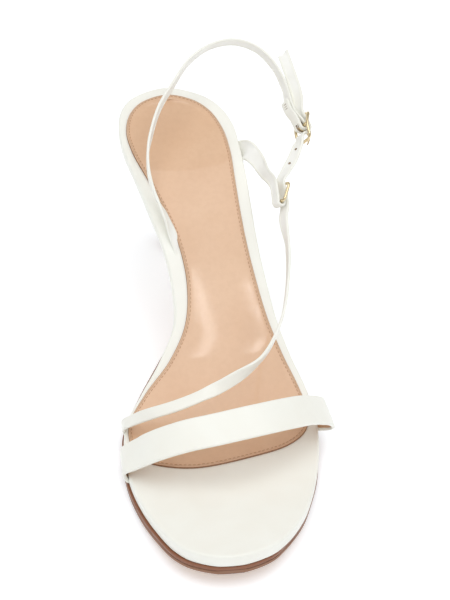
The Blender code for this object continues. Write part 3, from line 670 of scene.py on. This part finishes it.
def rounded_rectangle(place, half_length, half_width, corner, bow):
    """Points round a rectangular loop whose two ends stand out by bow."""
    spots = []
    for quarter, (sign_a, sign_b) in enumerate(((1, 1), (-1, 1), (-1, -1), (1, -1))):
        for step in range(CORNER_STEPS + 1):
            angle = math.radians(90.0 * quarter + 90.0 * step / CORNER_STEPS)
            spots.append((sign_a * (half_length - corner) + corner * math.cos(angle),
                          sign_b * (half_width - corner) + corner * math.sin(angle)))
        if quarter % 2 == 0:
            for step in range(1, CORNER_STEPS):
                along = sign_a * (half_length - corner) * (1.0 - 2.0 * step / CORNER_STEPS)
                spots.append((along, sign_b * half_width))
    return [place.point(along, aside, bow * (along / half_length) ** 2) for along, aside in spots]


# ---- stitches
def stitches(name, spots, length, radius, look):
    """Joined threads, each a small capsule at (centre, along, out)."""
    points = []
    faces = []
    for centre, along, out in spots:
        along, edge, out = axes(along, out.cross(along))
        faces += skin(len(STITCH_STOPS), STITCH_SIDES, len(points))
        round_thread = circle(edge, out, STITCH_SIDES)
        points += [centre + along * share * length + step * radius * scale
                   for share, scale in STITCH_STOPS for step in round_thread]
    return make_mesh(name, points, faces, [look])


def evenly(points, number=None, pitch=None):
    """(point, direction) at equal steps round a closed loop: so many, or about a pitch apart."""
    loop = points + [points[0]]
    lengths = [0.0]
    for a, b in zip(loop, loop[1:]):
        lengths.append(lengths[-1] + (b - a).length)
    number = number or int(lengths[-1] / pitch)
    made = []
    span = 0
    for k in range(number):
        distance = lengths[-1] * k / number
        while lengths[span + 1] < distance:
            span += 1
        share = (distance - lengths[span]) / (lengths[span + 1] - lengths[span])
        made.append((loop[span].lerp(loop[span + 1], share), (loop[span + 1] - loop[span]).normalized()))
    return made


# ---- materials
def srgb(red, green, blue):
    """A linear colour from one in the 0 to 255 steps of a paint chart."""
    values = []
    for value in (red, green, blue):
        value /= 255.0
        values.append(value / 12.92 if value <= 0.04045 else ((value + 0.055) / 1.055) ** 2.4)
    return (*values, 1.0)


class Look:
    """A node material with a few shorthands."""

    def __init__(self, name):
        self.made = bpy.data.materials.new(name)
        self.made.use_nodes = True
        tree = self.made.node_tree
        self.nodes, self.links = tree.nodes, tree.links
        self.shader = self.nodes["Principled BSDF"]
        self.place = self.nodes.new("ShaderNodeTexCoord").outputs["Object"]
        self.normal = None

    def give(self, socket, value):
        """Links a value that another node gives, or sets one that is the same all over."""
        if isinstance(value, bpy.types.NodeSocket):
            self.links.new(value, socket)
        else:
            socket.default_value = value

    def node(self, kind, **sockets):
        made = self.nodes.new("ShaderNode" + kind)
        for name, value in sockets.items():
            self.give(made.inputs[name.replace("_", " ")], value)
        return made

    def set(self, **sockets):
        """Sets or links inputs of the shader itself."""
        for name, value in sockets.items():
            self.give(self.shader.inputs[name.replace("_", " ")], value)
        return self

    def stretch(self, x, y, z):
        """Object coordinates, scaled along each axis."""
        return self.node("Mapping", Vector=self.place, Scale=(x, y, z)).outputs["Vector"]

    def noise(self, scale, detail=2.0, roughness=0.5, vector=None):
        made = self.node("TexNoise", Vector=vector or self.place, Scale=scale, Detail=detail,
                         Roughness=roughness)
        return made.outputs["Fac"]

    def cells(self, scale):
        """The distance to the nearest edge between cells, as between the grains of a hide."""
        made = self.node("TexVoronoi", Vector=self.place, Scale=scale)
        made.feature = "DISTANCE_TO_EDGE"
        return made.outputs["Distance"]

    def ramp(self, value, low, high, first=0.0, last=1.0):
        """Maps low to high on a value onto first to last, with clamping."""
        made = self.node("MapRange", Value=value, From_Min=low, From_Max=high, To_Min=first, To_Max=last)
        return made.outputs["Result"]

    def mix(self, share, first, last):
        """A colour between two, each a colour or a link."""
        made = self.node("Mix", Factor=share)
        made.data_type = "RGBA"
        self.give(made.inputs[6], first)
        self.give(made.inputs[7], last)
        return made.outputs[2]

    def mottle(self, scale, detail, first, last, vector=None):
        """A base colour that wanders between two."""
        return self.set(Base_Color=self.mix(self.noise(scale, detail, vector=vector), first, last))

    def clouds(self, scale, first, last):
        """A colour with broad soft patches of two."""
        return self.mix(self.ramp(self.noise(scale, 3.0), 0.35, 0.65), first, last)

    def gloss(self, scale, detail, low, high):
        """A roughness that wanders between two values."""
        return self.set(Roughness=self.ramp(self.noise(scale, detail), 0.3, 0.7, low, high))

    def bump(self, value, strength, depth):
        """Adds a bump of a depth in millimetres on top of earlier ones."""
        earlier = {"Normal": self.normal} if self.normal else {}
        made = self.node("Bump", Height=value, Strength=strength, Distance=depth * MM, **earlier)
        self.normal = made.outputs["Normal"]
        return self.set(Normal=self.normal)


CREAM = (srgb(246, 246, 238), srgb(244, 243, 234))
LINING_WHITE = (srgb(247, 247, 242), srgb(240, 239, 232))
SOLE_LAYERS = (1, 1, 30)  # how a sole's edge is stretched into level lines

# Small surfaces: two mottled colours, one roughness and one fine bump with its depth in millimetres.
PLAIN_LOOKS = {
    "hole": ("hole_wall", 900, 3, (196, 178, 156), (170, 150, 128), 0.8, 1800, 3, 0.4, 0.05),
    "sock_edge": ("tan_sock_raw_edge", 900, 3, (140, 100, 74), (176, 134, 104), 0.75, 1500, 4, 0.6, 0.15),
    # The sock's thread is painted darker than the sock, as painted shade of the stitch holes.
    "tan_thread_and_painted_shade": ("tan_thread_and_painted_shade", 1200, 2, (192, 146, 112), (172, 128, 96), 0.6, 2500, 2, 0.5, 0.08,
                   (1, 3, 1)),
    "white_thread": ("white_thread", 1200, 2, (166, 152, 132), (148, 134, 114), 0.6, 2500, 2, 0.5, 0.08),
    # The sole's dark edge line: the groove's line, and painted shade round the bottom corner.
    "edge_line_and_painted_shade": ("sole_edge_line", 300, 3, (92, 54, 34), (108, 66, 44), 0.5, 900, 3, 0.4, 0.08),
    "rubber": ("top_piece_rubber", 700, 4, (150, 112, 84), (128, 92, 68), 0.6, 1600, 4, 0.4, 0.1),
}


def plain(name, tone, detail, first, last, roughness, grain, grain_detail, strength, depth,
          stretch=(1, 1, 1)):
    look = Look(name).set(Roughness=roughness).mottle(tone, detail, srgb(*first), srgb(*last))
    return look.bump(look.noise(grain, grain_detail, vector=look.stretch(*stretch)), strength, depth)


def white_leather(name, colours, low, high, grain):
    """Smooth cream-white leather: a faint change of tone, fine pores and a soft gloss."""
    look = Look(name)
    look.set(Base_Color=look.clouds(70, *colours)).gloss(240, 4, low, high)
    look.bump(look.noise(1400, 3), grain, 0.06)
    look.bump(look.cells(2600), grain, 0.03)
    look.bump(look.noise(95, 1), 0.2, 0.1)
    return look.set(Specular_IOR_Level=0.5)


def tan_lining():
    """The toe band's back: soft tan leather without a finish."""
    look = Look("tan_strap_lining").mottle(60, 3, srgb(222, 184, 150), srgb(208, 168, 134))
    look.gloss(300, 4, 0.45, 0.6)
    return look.bump(look.noise(900, 4, 0.6), 0.3, 0.08)


def sock_leather():
    """The sock: warm tan with darker pores, slightly uneven under a smooth clear finish."""
    look = Look("tan_sock_leather")
    base = look.clouds(38, srgb(224, 186, 152), srgb(219, 179, 144))
    pores = look.ramp(look.noise(420, 5, 0.6), 0.42, 0.62, 0.0, 0.16)
    look.set(Base_Color=look.mix(pores, base, srgb(206, 164, 130))).gloss(300, 4, 0.3, 0.42)
    look.bump(look.noise(900, 4, 0.6), 0.2, 0.08)
    look.bump(look.cells(1900), 0.25, 0.04)
    look.bump(look.noise(60, 1), 0.4, 0.2)
    return look.set(Coat_Weight=0.5, Coat_Roughness=0.06)


def sole_edge(name, first, last, low, high):
    """A strip of the sole's edge, with the level lines of stacked leather."""
    look = Look(name)
    lines = look.stretch(*SOLE_LAYERS)
    look.mottle(60, 4, first, last, lines).gloss(400, 2, low, high)
    return look.bump(look.noise(120, 4, vector=lines), 0.3, 0.1)


def sole_leather():
    """The sole's underside: bare fibrous leather with faint scuffs along its length."""
    look = Look("sole_leather")
    fibre = look.noise(500, 5, 0.65)
    base = look.clouds(30, srgb(196, 158, 122), srgb(180, 140, 104))
    dark = look.ramp(fibre, 0.4, 0.7, 0.0, 0.35)
    look.set(Base_Color=look.mix(dark, base, srgb(150, 110, 80))).gloss(90, 3, 0.42, 0.62)
    look.bump(fibre, 0.35, 0.1)
    scuffs = look.noise(300, 3, 0.6, look.stretch(1, 0.08, 1))
    return look.bump(look.ramp(scuffs, 0.55, 0.75), 0.2, 0.1)


def pale_gold():
    """Polished pale gold with fine scratches along it."""
    look = Look("pale_gold_metal").set(Metallic=1.0)
    scratches = look.noise(2200, 3, 0.6, look.stretch(1, 0.15, 1))
    look.mottle(500, 2, srgb(235, 219, 184), srgb(224, 204, 163))
    look.set(Roughness=look.ramp(scratches, 0.35, 0.7, 0.1, 0.22))
    return look.bump(look.ramp(scratches, 0.55, 0.75), 0.15, 0.02)


def make_looks():
    """Every material, by the short name that the pieces use."""
    glossy = white_leather("white_strap_leather", CREAM, 0.3, 0.42, 0.12)
    looks = {
        "strap": glossy.set(Specular_IOR_Level=0.3, Coat_Weight=0.15, Coat_Roughness=0.2),
        "wrap": white_leather("white_footbed_leather", CREAM, 0.34, 0.46, 0.2),
        "heel": white_leather("white_heel_leather", CREAM, 0.26, 0.38, 0.15),
        "lining": white_leather("white_lining", LINING_WHITE, 0.5, 0.62, 0.3),
        "tan_lining": tan_lining(),
        "sock": sock_leather(),
        "edge_dark": sole_edge("sole_edge_dark", srgb(128, 78, 49), srgb(147, 93, 62), 0.3, 0.45),
        "edge_light": sole_edge("sole_edge_light", srgb(151, 107, 79), srgb(135, 96, 71), 0.35, 0.5),
        "sole": sole_leather(),
        "gold": pale_gold(),
    }
    looks.update({key: plain(*row) for key, row in PLAIN_LOOKS.items()})
    return {key: look.made for key, look in looks.items()}


# ---- the sandal's pieces
def hollow(station, share):
    """How deep the footbed and its sock are hollowed, at a share of the way across."""
    depth = HOLLOW_DEPTH * (1.0 - fade(station, *HOLLOW_FADES)) * smooth(station / HOLLOW_BEGINS)
    return depth * 4.0 * share * (1.0 - share)


def row_at(table, station, ease=lambda share: share):
    """A table's row at any station, between the rows before and after it."""
    station = min(max(station, table[0].station), table[-1].station)
    after = next((k for k in range(1, len(table)) if table[k].station > station), -1)
    before, after = table[after - 1], table[after]
    share = ease((station - before.station) / (after.station - before.station))
    return Section(station, *(a + (b - a) * share for a, b in zip(before[1:], after[1:])))


def outsole_margin(station, side):
    """How far the outsole stands in from the footbed's outline (negative is beyond it)."""
    return -getattr(row_at(OUTSOLE_MARGINS, station, smooth), side)


def outsole_thickness(station):
    return WAIST_SOLE_THICK + (OUTSOLE_THICK - WAIST_SOLE_THICK) * fade(station, *THICKENING)


def tread_share(station):
    """One over the tread, falling to nothing at the waist and the toe."""
    return fade(station, *TREAD_STATIONS[:2]) * (1.0 - fade(station, *TREAD_STATIONS[2:]))


def make_footbed(looks):
    """The wrapped board: leather drawn over a rounded edge and tucked in above the sole."""
    sides = outline(FOOTBED_OUTLINE, FOOTBED_ENDS)
    layers = []
    for step in range(ROLL_STEPS + 1):
        angle = math.radians(90.0 * step / ROLL_STEPS)
        layers.append((FOOTBED_ROLL * (1.0 - math.sin(angle)), FOOTBED_ROLL * (1.0 - math.cos(angle)), 0))
    layers += [(inset, depth, 0) for inset, depth in FOOTBED_SIDE]
    piece = plate("wrapped_footbed", sides, FOOTBED_ENDS, layers, (hollow, None), [looks["wrap"]])
    settle(piece, "wrapped_leather", "footbed")


def make_sock(looks):
    """The tan sock: a thin sheet with a raw edge and a sewn groove just inside it."""
    sides = outline(SOCK_OUTLINE, SOCK_ENDS)
    top = -SOCK_RISE
    layers = [(SOCK_FACE_INSET, top, 0)]
    for away in GROOVE_STEPS:
        sink = GROOVE_DEPTH * math.exp(-(away / GROOVE_BREADTH) ** 2)
        layers.append((SOCK_GROOVE - away, top + sink, 0))
    layers += [(inset, top + below, look) for inset, below, look in SOCK_EDGE]
    pair = [looks["sock"], looks["sock_edge"]]
    piece = plate("tan_sock", sides, SOCK_ENDS, layers, (hollow, hollow), pair)
    settle(piece, "tan_lining", "sock")

    line = [sunk(spot, top + SOCK_STITCH_SINK) for spot in inset_loop(sides, SOCK_GROOVE, SOCK_ENDS)]
    spots = [(centre, along, out_of_deck(MID_STATION - centre.y))
             for centre, along in evenly(line, pitch=SOCK_STITCH_PITCH)]
    # The thread's darker tan is painted shade of the stitch holes.
    thread = stitches("sock_stitches", spots, *SOCK_STITCH, looks["tan_thread_and_painted_shade"])
    settle(thread, "tan_lining")


def make_outsole(looks):
    """The leather sole: a dark line under the wrapped board, a lighter edge and a bare underside."""
    begin = BREAST_STATION + CLEARANCE
    sections = [row_at(FOOTBED_OUTLINE, begin)]
    sections += [row for row in FOOTBED_OUTLINE if row.station > begin + BREAST_ROW_GAP]
    ends = (None, FOOTBED_ENDS[1])

    def margin(extra):
        return lambda station, side: outsole_margin(station, side) + extra

    def deep(share):
        worn = TREAD_WEAR * max(share - WEAR_BEGINS, 0.0) / (1.0 - WEAR_BEGINS)
        return lambda station: (FOOTBED_THICK + CLEARANCE + outsole_thickness(station) * share
                                + worn * tread_share(station))

    layers = [(margin(inset), deep(share), look) for inset, share, look in SOLE_EDGE]
    # The dark edge line in the groove and round the bottom corner is partly painted shade.
    used = [looks[key] for key in ("edge_dark", "edge_light", "edge_line_and_painted_shade", "sole")]
    piece = plate("leather_sole", outline(sections, ends), ends, layers, (None, None), used, sharp=60.0)
    settle(piece, "sole_leather", "outsole")


def heel_plans():
    """The heel's plan loops, with as many points: where it meets the sole, and at its tip."""
    sections = [row for row in FOOTBED_OUTLINE if row.station < BREAST_STATION - BREAST_ROW_GAP]
    sections.append(row_at(FOOTBED_OUTLINE, BREAST_STATION - CLEARANCE))
    ends = (FOOTBED_ENDS[0], None)
    edge = inset_loop(outline(sections, ends), HEEL_INSET, ends)
    seat = [spot for spot, _ in evenly(edge, number=HEEL_SIDES)]
    for _ in range(HEEL_SOFTNESS):
        seat = [(seat[k - 1] + seat[k] * 2 + seat[(k + 1) % HEEL_SIDES]) / 4.0 for k in range(HEEL_SIDES)]
    back, medial = (min(spot[i] for spot in seat) for i in (0, 1))
    front, lateral = (max(spot[i] for spot in seat) for i in (0, 1))
    tip = []
    for spot in seat:
        along = (spot.x - back) / (front - back)
        aside = (spot.y - (medial + lateral) / 2.0) / (lateral - medial)
        tip.append(Vector((HEEL_TIP_BACK + along * HEEL_TIP_LENGTH,
                           HEEL_TIP_MIDDLE + aside * HEEL_TIP_WIDTH)))
    return seat, tip


def drawn_in(loop, inset):
    """A plan loop with every point moved towards its middle."""
    middle = sum(loop, Vector((0, 0))) / len(loop)
    return [spot + (middle - spot).normalized() * inset for spot in loop]


def make_heel(looks, seat, tip):
    """The covered heel: the seat's outline drawn in, quickly and then slowly, to a small tip."""
    back = min(spot.x for spot in seat)
    foot = TOP_PIECE_HEIGHT + CLEARANCE
    points = []
    for rise in range(HEEL_STEPS + 1):
        share = rise / HEEL_STEPS
        spread = share ** HEEL_FLARE
        start = HEEL_TIP_BACK + (back - HEEL_TIP_BACK) * (1.0 - smooth(1.0 - share))
        for low, high in zip(drawn_in(tip, HEEL_EDGE * (rise in (0, HEEL_STEPS))), seat):
            station, height = below_deck(high.x, FOOTBED_THICK + CLEARANCE)
            length = (low.x - HEEL_TIP_BACK) * (1.0 - spread) + (high.x - back) * spread
            across = low.y + (high.y - low.y) * spread
            drift = (station - high.x) * spread
            points.append(world(start + length + drift, across, foot + (height - foot) * share))
    faces = skin(HEEL_STEPS + 1, HEEL_SIDES)
    piece = make_mesh("covered_heel", points, faces, [looks["heel"]], sharp=55.0)
    settle(piece, "covered_heel", "heel")


def make_top_piece(looks, tip):
    """The grooved piece that the heel stands on."""
    points = [world(spot.x, spot.y, height) for height, inset in TOP_PIECE_LEVELS
              for spot in drawn_in(tip, inset)]
    faces = skin(len(TOP_PIECE_LEVELS), HEEL_SIDES)
    piece = make_mesh("heel_top_piece", points, faces, [looks["rubber"]], sharp=40.0)
    settle(piece, "top_piece", "heel_tip")


def make_toe_band(looks):
    """The wide band over the toes, white outside and tan inside."""
    route = Route().turns(TOE_BAND, TOE_STRAP_WIDTH).turns(TOE_BAND_OUT, TOE_BAND_OUT_WIDTHS)
    pair = [looks["strap"], looks["tan_lining"]]
    piece = strap("toe_band", route, BAND_THICK, -1, pair, creases=TOE_CREASES)
    settle(piece, "strap_leather", "toe_strap")


def make_diagonal_band(looks, ring, buckle):
    """The strap across the instep, through the ring and the buckle, with its punched holes."""
    route = Route().turns(DIAGONAL_START, STRAP_WIDTH)
    route.holds(ring, INSTEP_THROUGH_RING, -ring.edge, STRAP_WIDTH)
    route.turns(HOLED_END, STRAP_WIDTH)
    route.holds(buckle, HOLED_THROUGH_BUCKLE, -buckle.edge, STRAP_WIDTH)
    route.turns(FREE_END, STRAP_WIDTH)
    pair = [looks["strap"], looks["lining"]]
    piece = strap("diagonal_band", route, NARROW_THICK, -1, pair, slant=FREE_END_CUT)
    rings = route.rings()
    start, stop = buckle.points(PRONG_HOLE)
    middle = (start + stop) / 2.0
    prong_at = min(rings, key=lambda near: (near.centre - middle).length).distance
    holes = []
    for distance in SPARE_HOLES:
        near = min(rings, key=lambda near: abs(near.distance - prong_at + distance))
        reach = near.out * PUNCH_REACH
        holes.append((near.centre - reach, near.centre + reach))
    punch(piece, [(start, stop)], PRONG_HOLE_RADIUS, looks["hole"])
    punch(piece, holes, SPARE_HOLE_RADIUS, looks["hole"])
    settle(piece, "strap_leather", "instep_strap")


def make_rear_band(looks, ring):
    """The short strap from the heel seat that is folded round the ring."""
    route = Route().turns(REAR_BAND, REAR_BAND_WIDTHS)
    route.holds(ring, REAR_ROUND_RING, -ring.edge, REAR_FOLD_WIDTH)
    piece = strap("rear_band", route, ANKLE_THICK, 1, [looks["strap"], looks["lining"]])
    settle(piece, "strap_leather", "rear_strap")


def make_sling_band(looks, buckle):
    """The strap round the back of the ankle, folded round the buckle's bar and stitched there."""
    route = Route().turns(SLING_IN, SLING_IN_WIDTHS).turns(SLING_START, SLING_WIDTH)
    route.holds(buckle, SLING_ROUND_BUCKLE, buckle.edge, SLING_WIDTH)
    piece = strap("sling_band", route, ANKLE_THICK, -1, [looks["strap"], looks["lining"]])
    slot(piece, buckle, PRONG_SLOT, looks["hole"])
    settle(piece, "strap_leather", "sling_strap")
    spots = [(point, buckle.edge, -buckle.out) for point in buckle.points(END_STITCHES)]
    thread = stitches("end_stitches", spots, *END_STITCH, looks["white_thread"])
    settle(thread, "strap_leather")


def make_metal(looks, ring, buckle):
    """The ring, and the buckle's loop, bar and pin."""
    gold = looks["gold"]
    loop = rounded_rectangle(ring, RING_HALF_LENGTH, RING_HALF_WIDTH, RING_CORNER, 0.0)
    settle(wire("strap_ring", loop, RING_WIRE, gold, True), "pale_gold", "ring")
    loop = rounded_rectangle(buckle, FRAME_HALF_LENGTH, FRAME_HALF_WIDTH, FRAME_CORNER, FRAME_BOW)
    settle(wire("buckle_loop", loop, FRAME_WIRE, gold, True), "pale_gold", "buckle_frame")
    bar = [buckle.point(0, side * FRAME_HALF_WIDTH, 0) for side in (-1, -0.5, 0, 0.5, 1)]
    settle(wire("buckle_bar", bar, BAR_WIRE, gold, False), "pale_gold")
    prong = catmull(buckle.points(PRONG), PRONG_STEPS)
    radii = [1.0 - PRONG_TAPER * fade(i / len(prong), PRONG_TAPER_BEGINS, 1.0) for i in range(len(prong))]
    settle(wire("buckle_pin", prong, PRONG_WIRE, gold, False, radii), "pale_gold", "buckle_prong")


# ---- stage
EYE = (595.3, -68.1, 465.1)  # the viewer's eye, as a place on the sandal
VIEW_TURN = 4.68  # degrees from the sandal's length, before the view is aimed
VIEW_DROP = 41.0  # degrees that it points down
AIM = (94.3, 16.9, 30.0)  # what the picture is centred on
LENS = 95.4  # millimetres, as is the sensor, along the picture's longer side
SENSOR = 36.0
CLIP = (0.01, 20.0)  # metres

LAMPS = (  # place and size in metres, power in watts
    ("key", (0.05, -0.3, 1.6), (2.4, 1.8), 19.3),
    ("far_strip", (-0.8, 1.1, 1.0), (0.35, 0.4), 0.7),
    ("streak", (0.15, -0.54, 1.3), (0.008, 0.09), 0.045),
    ("side_streak", (0.22, -0.54, 1.3), (0.008, 0.06), 0.028),
)
LAMP_AIM = Vector((0.0, 0.0, 0.03))
WHITE = (1.0, 1.0, 1.0, 1.0)
SKY_STRENGTH = 0.52
FLOOR_REACH = 6.0  # metres
FLOOR_GLOW = 0.28


def make_camera():
    turn = math.radians(VIEW_TURN)
    drop = math.radians(VIEW_DROP)
    ahead = math.cos(drop)
    level_sight = Vector((math.sin(turn) * ahead, math.cos(turn) * ahead, -math.sin(drop)))
    eye = world(*EYE) * MM
    sight = (world(*AIM) * MM - eye).normalized()
    data = bpy.data.cameras.new("camera")
    data.sensor_width = SENSOR
    data.lens = LENS
    data.clip_start, data.clip_end = CLIP
    camera = add("camera", data)
    camera.location = eye
    camera.rotation_mode = "QUATERNION"
    straight = level_sight.to_track_quat("-Z", "Y")
    camera.rotation_quaternion = level_sight.rotation_difference(sight) @ straight
    bpy.context.scene.camera = camera


def make_lamp(name, place, size, power):
    data = bpy.data.lights.new(name, "AREA")
    data.shape = "RECTANGLE"
    data.size, data.size_y = size
    data.energy = power
    lamp = add(name, data)
    lamp.location = place
    lamp.rotation_mode = "QUATERNION"
    lamp.rotation_quaternion = (LAMP_AIM - Vector(place)).to_track_quat("-Z", "Y")


def make_stage():
    """The pale floor, the even studio light and the lamps."""
    mesh = bpy.data.meshes.new("floor")
    corners = [(FLOOR_REACH * x, FLOOR_REACH * y, 0.0) for x, y in ((-1, -1), (1, -1), (1, 1), (-1, 1))]
    mesh.from_pydata(corners, [], [(0, 1, 2, 3)])
    look = Look("pale_floor")
    look.set(Base_Color=srgb(246, 249, 253), Roughness=0.9, Specular_IOR_Level=0.1)
    look.set(Emission_Color=WHITE, Emission_Strength=FLOOR_GLOW)
    mesh.materials.append(look.made)
    add("floor", mesh)

    sky = bpy.data.worlds.new("studio")
    sky.use_nodes = True
    background = sky.node_tree.nodes["Background"].inputs
    background["Color"].default_value = WHITE
    background["Strength"].default_value = SKY_STRENGTH
    bpy.context.scene.world = sky
    for lamp in LAMPS:
        make_lamp(*lamp)
    bpy.context.scene.view_settings.view_transform = "Standard"


def main():
    make_camera()
    make_stage()
    looks = make_looks()
    ring, buckle = Place(*RING_PLACE), Place(*BUCKLE_PLACE)
    make_footbed(looks)
    make_sock(looks)
    make_outsole(looks)
    seat, tip = heel_plans()
    make_heel(looks, seat, tip)
    make_top_piece(looks, tip)
    make_toe_band(looks)
    make_diagonal_band(looks, ring, buckle)
    make_rear_band(looks, ring)
    make_sling_band(looks, buckle)
    make_metal(looks, ring, buckle)


main()
